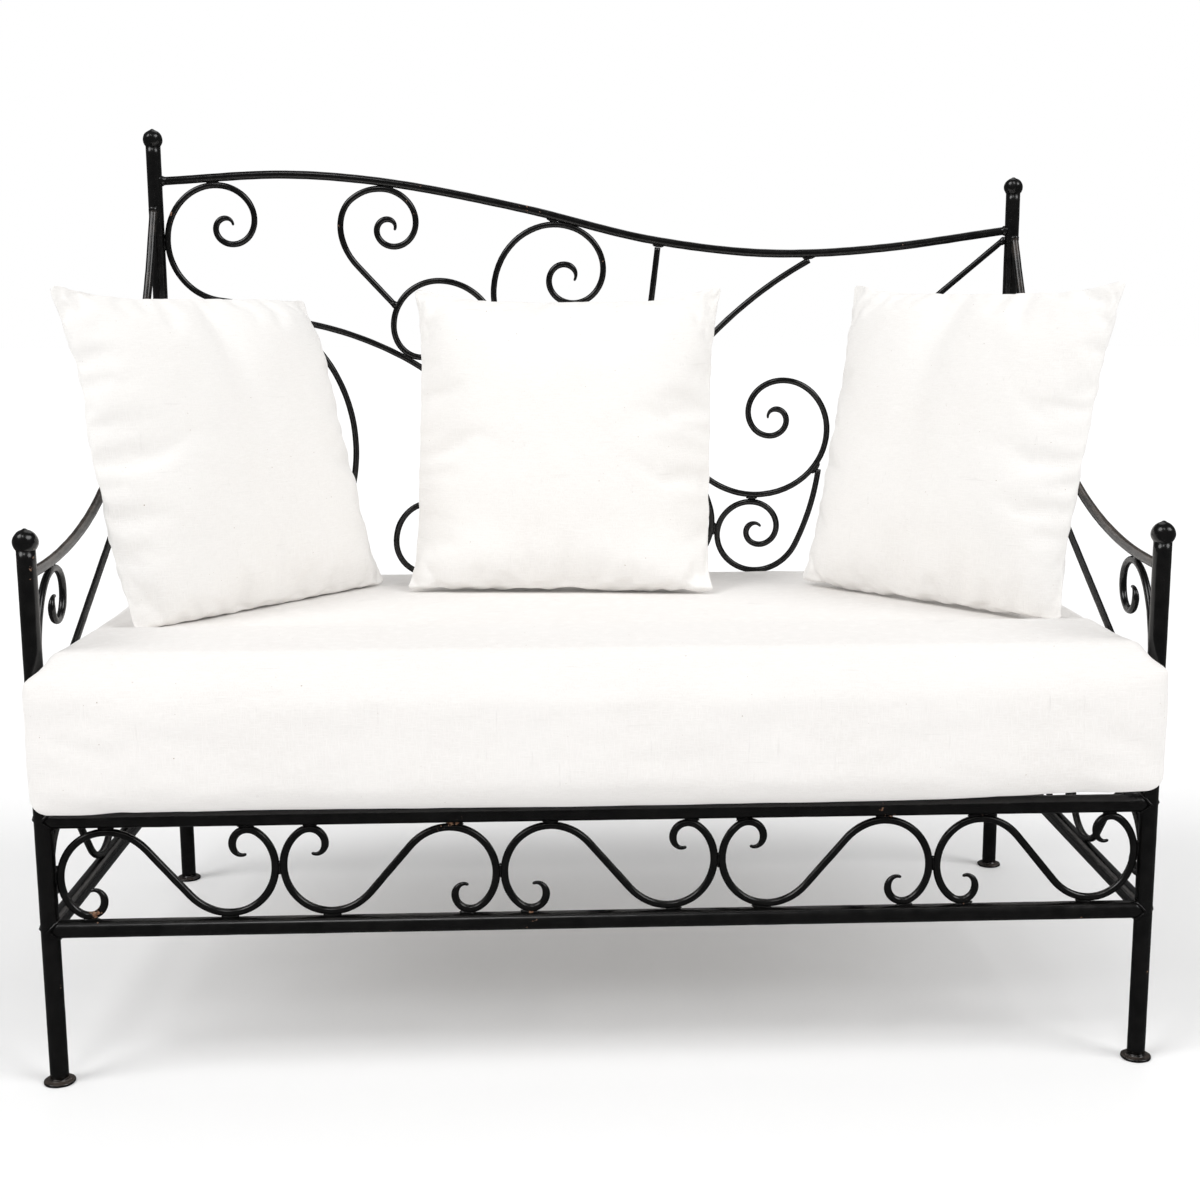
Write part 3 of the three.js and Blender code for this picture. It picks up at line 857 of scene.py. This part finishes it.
def inflate(piece, frames, pressure, slack, cap, pinned=None):
    """Cloth under pressure, stopped where a point has moved as far as the cap allows."""
    start = vertices_of(piece)
    cloth = piece.modifiers.new("cloth", "CLOTH")
    settings = cloth.settings
    settings.quality = 5
    settings.mass = 0.25
    settings.tension_stiffness = 12
    settings.compression_stiffness = 12
    settings.shear_stiffness = 4
    settings.bending_stiffness = 0.25
    settings.air_damping = 2.5
    settings.use_pressure = True
    settings.uniform_pressure_force = pressure
    settings.shrink_min = -slack
    settings.effector_weights.gravity = 0
    if pinned:
        settings.vertex_group_mass = pinned
        settings.pin_stiffness = 1.0
    cloth.collision_settings.use_collision = False
    cloth.point_cache.frame_start = 1
    cloth.point_cache.frame_end = frames
    scene = bpy.context.scene
    for number in range(1, frames + 1):
        scene.frame_set(number)
    seen = piece.evaluated_get(bpy.context.evaluated_depsgraph_get())
    after = vertices_of(seen)
    piece.modifiers.remove(cloth)
    scene.frame_set(1)
    moved = after - start
    reach = np.linalg.norm(moved, axis=1, keepdims=True)
    moved *= cap * np.tanh(reach / cap) / np.maximum(reach, 1e-9)
    move_vertices(piece, start + moved)


def applied(piece, steps):
    """Gives a piece the mesh that a few modifiers make of it."""
    for kind, options in steps:
        modifier = piece.modifiers.new(kind.lower(), kind)
        for key, value in options.items():
            setattr(modifier, key, value)
    seen = piece.evaluated_get(bpy.context.evaluated_depsgraph_get())
    mesh = bpy.data.meshes.new_from_object(seen)
    piece.modifiers.clear()
    piece.data = mesh


FINER = [("SUBSURF", {"levels": 1, "render_levels": 1})]


# ---- cushions ----
# Lengths of a cushion are in millimetres. Places on its face are u, from -1 at the left seam
# to 1 at the right one, and v, from -1 at the lower seam to 1 at the upper one.
CUSHION_CELLS = 64
SEAM_DENSITY = 0.94     # how much closer the points stand towards the seams, up to 1
SEAM_THICKNESS = 14     # half of it, beyond which a cushion's crown rises
SEAM_HOLD = 0.97        # how firmly the seam is held while the cover is blown up
EAR_ROUNDING = 0.04     # the share that blunts the tips of the corners
PULL_REACH = 0.3        # how far the pull at a corner works, in u and v
FOLD_WIDTH = 0.14       # of the fold down its face, in u
FORWARD_REACH = 0.2     # how far up the lower seam's drag is felt, in v
PUCKER_LENGTH = 20      # how far the gathers run in from the seams
PUCKER_DEPTH = 1.9
LOWER_PUCKERS = 1.7     # how much deeper the gathers at the lower seam are
CRINKLE_DEPTH = 1.3
WAVE_DEPTH = 1.4
UNDERSIDE = 16          # how far the padding hangs below the lower seam
SAG = 0.012             # metres that the lowest part sinks
SAG_HEIGHT = 0.11       # the height below which a cushion sags
CLEAR = 0.0006          # half the space between two soft pieces


def bell(value, reach):
    return math.exp(-(value / reach) ** 2)


def relief(face, u, v, x, z, seed):
    """How far the cloth stands out in gathers and slanting crinkles."""
    beside = math.exp(-CUSHION_HEIGHT / 2 * (1 - abs(v)) / PUCKER_LENGTH)
    across = math.exp(-CUSHION_WIDTH / 2 * (1 - abs(u)) / PUCKER_LENGTH)
    gathers = (LOWER_PUCKERS if v < 0 else 1.0) * beside * lump((x * MM, 0.1, 0), 58, seed)
    gathers += across * lump((0.1, z * MM, 0), 58, seed + 4)
    slant = (0.8 * x + 0.6 * z, 0.25 * (0.8 * z - 0.6 * x), 0)
    crinkle = lump(Vector(slant) * MM, 38, seed + 6 * face)
    return PUCKER_DEPTH * gathers + CRINKLE_DEPTH * crinkle


def cushion_point(facts, seed, face, u, v, edge):
    """A point of a cushion's face, -1 for the front one, in its own frame: x across, y
    through it, z up from its lower edge."""
    left, right, bottom, top = facts["draw"]
    fold_at, fold_depth = facts["fold"]
    draw_x = (left if u < 0 else right) * (1.15 - 0.15 * v) * (1 - v ** (14 if v < 0 else 8))
    draw_z = (bottom if v < 0 else top) * (1 - u ** 8)
    blunt = EAR_ROUNDING * abs(u * v) ** 24
    x = CUSHION_WIDTH / 2 * u * (1 - draw_x - blunt)
    z = CUSHION_HEIGHT / 2 * (1 + v * (1 - draw_z - blunt))
    crown = CUSHION_THICKNESS / 2 - SEAM_THICKNESS
    swell = ((1 - abs(u) ** 3.2) * (1 - abs(v) ** 3.2)) ** 0.62
    valley = bell(u - fold_at, FOLD_WIDTH) * (0.35 + 0.65 * (0.5 + v / 2))
    y = face * (crown * swell * (1 - fold_depth * valley))
    y -= facts["forward"] * bell(1 + v, FORWARD_REACH)
    for corner_u, corner_v, dx, dy, dz in facts["corners"]:
        near = math.exp(-((u - corner_u) ** 2 + (v - corner_v) ** 2) / PULL_REACH ** 2)
        x += dx * near
        y += dy * near
        z += dz * near
    place = Vector((x, z, 0)) * MM
    if edge:
        x += 2.4 * lump(place, 42, seed)
        z += 2.0 * lump(place, 42, seed + 5)
        y += 3.0 * lump(place, 26, seed + 11)
    open_share = min(1, 4 * swell)
    y += face * open_share * relief(face, u, v, x, z, seed)
    y += face * open_share * WAVE_DEPTH * lump(place, 20, seed + 3 * face)
    hang = UNDERSIDE if face == 1 else 0.4 * UNDERSIDE
    z -= hang * open_share * bell(1 + v, 0.12)
    return Vector((x, y, z)) * MM


def closer_at_seams(share):
    widest = math.sin(math.pi / 2 * SEAM_DENSITY)
    return math.sin(share * math.pi / 2 * SEAM_DENSITY) / widest


def cushion_shape(facts, seed):
    """A square cushion whose two faces share the row of points along the sewn edge."""
    cells = CUSHION_CELLS
    index = {}
    points = []
    rim = []
    for face in (-1, 1):
        for j in range(cells + 1):
            for i in range(cells + 1):
                edge = i in (0, cells) or j in (0, cells)
                if edge and face == 1:
                    index[face, i, j] = index[-1, i, j]
                    continue
                index[face, i, j] = len(points)
                if edge:
                    rim.append(len(points))
                u, v = closer_at_seams(2 * i / cells - 1), closer_at_seams(2 * j / cells - 1)
                points.append(cushion_point(facts, seed, face, u, v, edge))
    faces = []
    for j in range(cells):
        for i in range(cells):
            corners = ((i, j), (i + 1, j), (i + 1, j + 1), (i, j + 1))
            faces.append(tuple(index[(-1, *corner)] for corner in corners))
            turned = (corners[0], *reversed(corners[1:]))
            faces.append(tuple(index[(1, *corner)] for corner in turned))
    return points, faces, rim


# Lower edge centre, measured from the front post centres and the floor, and its turn, as in
# the CAD model; then the fold down its face, how far each side is drawn in between its
# corners, how far its lower seam is dragged forward, and how each odd corner (u, v) is pulled.
CUSHIONS = {
    "left": {
        "at": (-446, 425, 497), "yaw": 53, "lean": 16.4, "fold": (-0.05, 0.16),
        "draw": (0.02, 0.05, 0.03, 0.05), "forward": 5,
        "corners": [
            (1, 1, -3, 16, -3), (-1, 1, -13, 0, 12), (-1, 0, -6, 8, 0), (-1, -0.5, -6, 12, 0),
            (-1, -1, -8, 15, 3), (1, -1, -6, 0, 3)]},
    "middle": {
        "at": (-47, 525, 497), "yaw": -5, "lean": 18, "fold": (0.3, 0.04),
        "draw": (0.055, 0.055, 0.03, 0.055), "forward": 20,
        "corners": [(-1, 1, -5, 0, 13), (1, 1, 7, 0, 17)]},
    "right": {
        "at": (449.8, 398, 502), "yaw": -50, "lean": 14.8, "fold": (-0.12, 0.32),
        "draw": (0.045, 0.05, 0.03, 0.055), "forward": 4,
        "corners": [(-1, -1, 6, 0, 3), (1, -1, 14, 0, 3), (-1, 1, -7, 0, 7), (1, 1, 6, 0, 10)]},
}


def settle(points, yaw):
    """The lowest part of a cushion sags, spreads forward and lies flat on the mattress."""
    height = points[:, 2] - MATTRESS_TOP
    low = 1 - smooth_step(0, SAG_HEIGHT, height)
    forward = np.array((math.sin(yaw), -math.cos(yaw)))
    points[:, :2] += forward * (SAG * low)[:, None]
    points[:, 2] -= SAG * low
    points[:, 2] = np.maximum(points[:, 2], MATTRESS_TOP + CLEAR)
    return points


def cushion(name, seed):
    facts = CUSHIONS[name]
    points, faces, rim = cushion_shape(facts, seed)
    body = f"cushion_{name}"
    piece = mesh_piece(f"{body}_cover", points, faces, cushion_cotton, body, "cushion_cover")
    group = piece.vertex_groups.new(name="sewn")
    group.add(rim, SEAM_HOLD, "REPLACE")
    piece.parent = None
    inflate(piece, frames=16, pressure=3.5, slack=0.035, cap=0.02, pinned=group.name)
    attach(piece, body)
    applied(piece, FINER)
    x, y, z = facts["at"]
    yaw = math.radians(facts["yaw"])
    turned = Matrix.Rotation(yaw, 4, "Z")
    leaned = Matrix.Rotation(math.radians(-facts["lean"]), 4, "X")
    place = Matrix.Translation(Vector((x, FRONT_Y + y, z)) * MM)
    piece.data.transform(place @ turned @ leaned)
    move_vertices(piece, settle(vertices_of(piece), yaw))
    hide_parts(body)


# ---- mattress ----
# Metres.
SIDE_SWELL = 0.034      # how far the loose sides of the mattress spread over the seat rails
FRONT_CROWN = 0.024     # how far its free front part rises above the part under the cushions
CROWN_END = -0.14       # where that rise has ended, just in front of the cushions
CORNER_RADIUS = 0.034   # of the lower corners of its front edge
RIGHT_LIFT = 0.009      # how far its lower front edge rides up at the right end
BAR_CLEARANCE = 0.004   # no swell this near a bar of an arm,
FULL_SWELL = 0.018      # and all of it from here on
SWELL_START = 0.45      # from the middle to where the sides start to spread
COVER_INSET = 0.003     # of the cover, which the filling pushes out again
ROUNDED_BLOCK = [
    ("WELD", {"merge_threshold": 0.0001}),
    ("BEVEL", {"width": 0.011, "segments": 4}),
    ("REMESH", {"mode": "VOXEL", "voxel_size": 0.0095}),
]


def free_of_bars(points):
    """Where the mattress may spread sideways: 0 beside a bar of an arm, and 1 well away."""
    nearest = np.full(len(points), 1.0)
    for name, line, radius in centrelines:
        if name.startswith(("arm_c_scroll", "arm_brace")):
            same_side = points[:, 0] * line[0][0] > 0
            for place in line:
                away = np.hypot(points[:, 1] - place[1], points[:, 2] - place[2]) - radius
                nearest = np.where(same_side, np.minimum(nearest, away), nearest)
    return smooth_step(BAR_CLEARANCE, FULL_SWELL, nearest)


def spread_sides(points, high):
    """The sides behind the arms' scrolls swell out over the seat rails."""
    x, y = points[:, 0], points[:, 1]
    behind = smooth_step(CROWN_END - 0.06, CROWN_END, y)
    behind *= smooth_step(high.y - 0.012, high.y - 0.045, y)
    wide = np.abs(x) > SWELL_START
    swell = np.zeros(len(points))
    swell[wide] = SIDE_SWELL * behind[wide] * free_of_bars(points[wide])
    x += np.sign(x) * swell * smooth_step(SWELL_START, 0.62, np.abs(x))


def round_front_corners(points, low, high):
    """The lower corners of the front edge are rounded, and the right end rides up a little."""
    x, y, z = points[:, 0], points[:, 1], points[:, 2]
    lip = FRONT_Y * MM - TUBE_RADIUS * MM
    beyond = np.maximum(0, np.abs(x) - (high.x - CORNER_RADIUS))
    below = np.maximum(0, low.z + CORNER_RADIUS - z)
    reach = np.maximum(np.hypot(beyond, below), CORNER_RADIUS)
    cut = np.where((y < lip) & (beyond > 0) & (below > 0), 1 - CORNER_RADIUS / reach, 0)
    x -= np.sign(x) * beyond * cut
    z += below * cut
    lower = smooth_step(low.z + 0.12, low.z, z) * smooth_step(lip + 0.08, lip, y)
    z += RIGHT_LIFT * lower * smooth_step(0.34, 0.64, x)


def mattress_folds(points, low, high):
    """The loose cover: swollen sides, rounded lower front corners and soft lumps."""
    x, y, z = points[:, 0], points[:, 1], points[:, 2]
    x *= high.x / np.abs(x).max()
    spread_sides(points, high)
    round_front_corners(points, low, high)
    middle = (low + high) / 2
    crown = smooth_step(low.y, low.y + 0.042, y) * smooth_step(CROWN_END, CROWN_END - 0.07, y)
    crown *= FRONT_CROWN * smooth_step(high.x + 0.006, high.x - 0.030, np.abs(x))
    z += crown * smooth_step(middle.z, high.z - 0.01, z)
    for p in points:
        if p[1] < FRONT_Y * MM:
            p[1] += 0.0026 * lump(p, 9, 3.0) + 0.0013 * lump((p[0], p[1], 2 * p[2]), 23, 5.0)
            end = min(1.0, max(0.0, abs(p[0]) - 0.46) / 0.18)
            slanting = (0.4 * p[0], p[1], 1.5 * p[2] + 0.5 * p[0])
            p[1] += 0.0034 * end * lump(slanting, 26, 8.0)
        elif p[2] > middle.z:
            p[2] += 0.002 * lump(p, 9, 3.0) - 0.001
    z[:] = np.minimum(z, MATTRESS_TOP - CLEAR + crown)
    return points


def mattress():
    """The box mattress: a foam block in a loose cotton cover, notched round the posts."""
    low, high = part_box("mattress")
    middle = (low + high) / 2
    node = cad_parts["mattress"]
    piece = new_object("mattress_cover", node.data.copy())
    for vertex in piece.data.vertices:
        vertex.co.x -= math.copysign(COVER_INSET, vertex.co.x)
        vertex.co.y += COVER_INSET if vertex.co.y < middle.y else -COVER_INSET
        vertex.co.z += COVER_INSET if vertex.co.z < middle.z else -CLEAR
    applied(piece, ROUNDED_BLOCK)
    inflate(piece, frames=12, pressure=2.0, slack=0.02, cap=0.006)
    applied(piece, FINER)
    move_vertices(piece, mattress_folds(vertices_of(piece), low, high))
    piece.data.materials.clear()
    piece.data.materials.append(mattress_cotton)
    piece.data.polygons.foreach_set("use_smooth", [True] * len(piece.data.polygons))
    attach(piece, "mattress")
    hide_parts("mattress")
    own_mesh(piece)


# ---- stage, light and camera ----
FLOOR_HALF = 30
ROOM_LIGHT = 0.53       # how much of the white room lights the daybed
ROOM_IN_GLOSS = 0.10    # and how much of it shows in the shine of the paint


def stage():
    """A pale floor that ends out of sight, in a white room that the black paint hardly shows. In
    the paint's shine the floor is painted dark grey, a painted shade on its reflection.
    """
    mesh = bpy.data.meshes.new("floor")
    half = FLOOR_HALF
    corners = [(-half, -half, 0), (half, -half, 0), (half, half, 0), (-half, half, 0)]
    mesh.from_pydata(corners, [], [(0, 1, 2, 3)])
    m = Nodes("pale_floor")
    in_gloss = m.tree.nodes.new("ShaderNodeLightPath").outputs["Is Glossy Ray"]
    # Painted shade on the floor's reflection: glossy rays see the floor dark grey, not pale.
    m.link(m.mix(in_gloss, (0.98, 0.98, 0.98), (0.1, 0.1, 0.1)), m.shader.inputs["Base Color"])
    m.shader.inputs["Specular IOR Level"].default_value = 0.0
    m.shader.inputs["Roughness"].default_value = 0.9
    mesh.materials.append(m.material)
    new_object("floor", mesh)
    world = bpy.data.worlds.new("studio")
    world.use_nodes = True
    tree = world.node_tree
    rays = tree.nodes.new("ShaderNodeLightPath")
    seen = tree.nodes.new("ShaderNodeMapRange")
    seen.inputs["To Min"].default_value = ROOM_LIGHT
    seen.inputs["To Max"].default_value = 1.0
    tree.links.new(rays.outputs["Is Camera Ray"], seen.inputs["Value"])
    mirrored_room = tree.nodes.new("ShaderNodeMapRange")
    mirrored_room.inputs["To Min"].default_value = 0.0
    mirrored_room.inputs["To Max"].default_value = ROOM_IN_GLOSS - ROOM_LIGHT
    tree.links.new(rays.outputs["Is Glossy Ray"], mirrored_room.inputs["Value"])
    strength = tree.nodes.new("ShaderNodeMath")
    tree.links.new(seen.outputs["Result"], strength.inputs[0])
    tree.links.new(mirrored_room.outputs["Result"], strength.inputs[1])
    background = tree.nodes["Background"]
    background.inputs["Color"].default_value = (1, 1, 1, 1)
    tree.links.new(strength.outputs[0], background.inputs["Strength"])
    bpy.context.scene.world = world


def far_softbox(name, azimuth, elevation, angle, strength):
    """A distant softbox: azimuth 0 is straight in front, 90 to the right, in degrees."""
    data = bpy.data.lights.new(name, "SUN")
    data.angle = math.radians(angle)
    data.energy = strength
    lamp = new_object(name, data)
    a, e = math.radians(azimuth), math.radians(elevation)
    towards = Vector((math.sin(a) * math.cos(e), -math.cos(a) * math.cos(e), math.sin(e)))
    lamp.rotation_euler = towards.to_track_quat("Z", "Y").to_euler()


def lights():
    far_softbox("left", -60, 45, 30, 1.10)
    far_softbox("right", 60, 42, 30, 1.00)
    far_softbox("above", -10, 55, 14, 0.28)
    far_softbox("behind", 170, 55, 30, 0.20)


# The camera stands 0.9 m above the floor, a little left of the middle.
CAMERA_PLACE = (-0.0506, -2.2660, 0.9027)
CAMERA_YAW = 3.015
CAMERA_PITCH = 10.209
FOCAL_LENGTH = 51.63
SENSOR = 36
SHIFT = (-0.0407, 0.0072)  # the share of the sensor that the lens is moved across and up


def camera():
    data = bpy.data.cameras.new("camera")
    data.sensor_width = SENSOR
    data.lens = FOCAL_LENGTH
    data.shift_x, data.shift_y = SHIFT
    view = new_object("camera", data)
    view.location = CAMERA_PLACE
    view.rotation_euler = (math.radians(90 - CAMERA_PITCH), 0, math.radians(-CAMERA_YAW))
    bpy.context.scene.camera = view
    bpy.context.scene.view_settings.view_transform = "Standard"


# ---- the scene ----
camera()
stage()
lights()
front_apron()
side("left")
side("right")
back()
rails()
posts()
welds()
slats()
mattress()
for number, cushion_name in enumerate(CUSHIONS):
    cushion(cushion_name, 10.0 + 7 * number)
